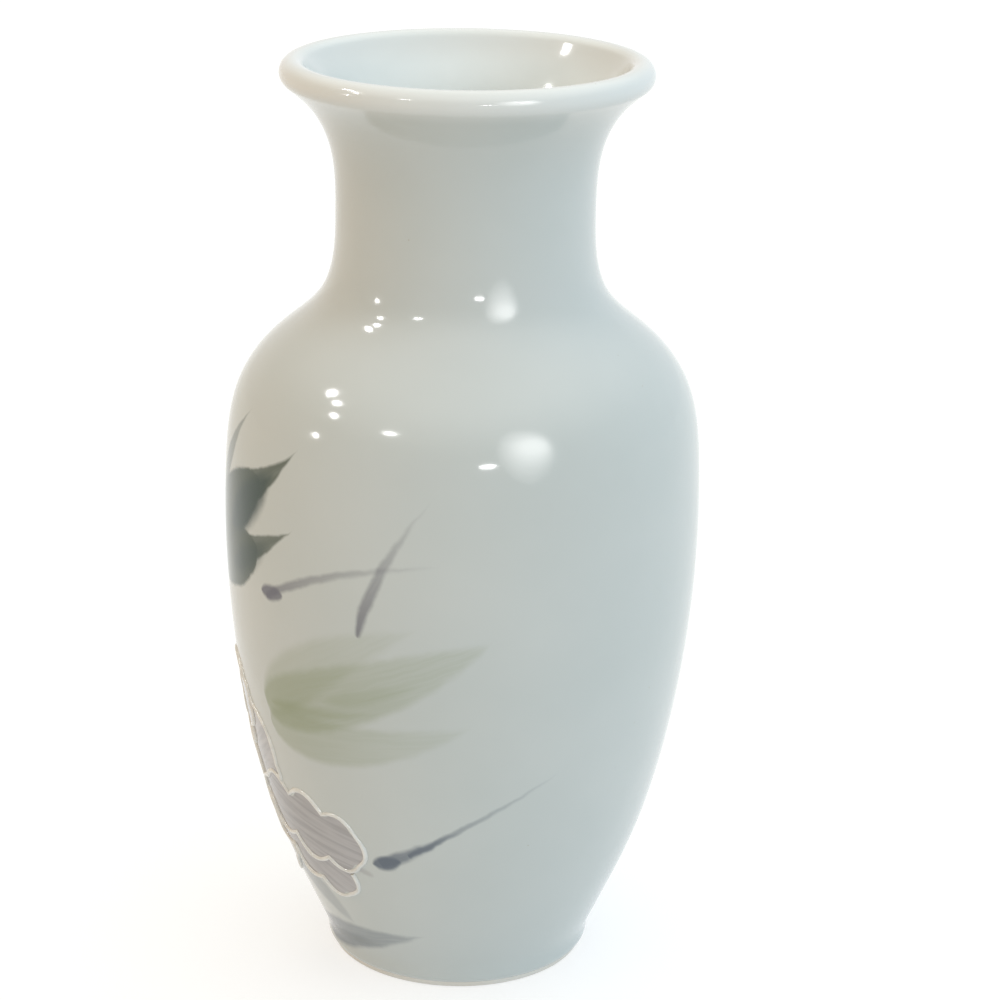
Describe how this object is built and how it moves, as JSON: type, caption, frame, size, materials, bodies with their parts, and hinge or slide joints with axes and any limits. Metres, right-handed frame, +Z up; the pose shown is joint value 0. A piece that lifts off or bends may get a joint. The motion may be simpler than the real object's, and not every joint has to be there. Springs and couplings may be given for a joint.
{
  "type": "baluster vase",
  "caption": "Baluster-shaped porcelain flower vase with a flared neck, a rolled lip, a turned foot ring and a brushed floral spray edged in raised slip.",
  "frame": {"origin": "centre of the standing edge, on the surface that the vase stands on", "axes": "+Z up along the vase's axis of turning; -Y is the pictured front; the painted flower lies round towards -X"},
  "size_m": [0.1026, 0.1026, 0.2],
  "materials": {
    "porcelain_clay": "fired unglazed porcelain, matt and fine",
    "luting_slip": "fired porcelain slip, matt",
    "clear_glaze": "glossy pale grey-white glaze",
    "raised_slip": "trailed white slip, glossy"
  },
  "bodies": {
    "root": {"foot_ring": "porcelain_clay", "lower_body": "porcelain_clay", "upper_body": "porcelain_clay", "neck": "porcelain_clay", "mouth_rim": "porcelain_clay", "foot_luting_slip": "luting_slip", "belly_luting_slip": "luting_slip", "neck_luting_slip": "luting_slip", "rim_luting_slip": "luting_slip", "outside_glaze": "clear_glaze", "inside_glaze": "clear_glaze", "base_glaze": "clear_glaze", "flower_heart_outline": "raised_slip", "petal_outline_1": "raised_slip", "petal_outline_2": "raised_slip", "petal_outline_3": "raised_slip", "petal_outline_4": "raised_slip", "petal_outline_5": "raised_slip", "petal_outline_6": "raised_slip", "petal_outline_7": "raised_slip", "petal_outline_8": "raised_slip", "petal_outline_9": "raised_slip"}
  },
  "joints": []
}
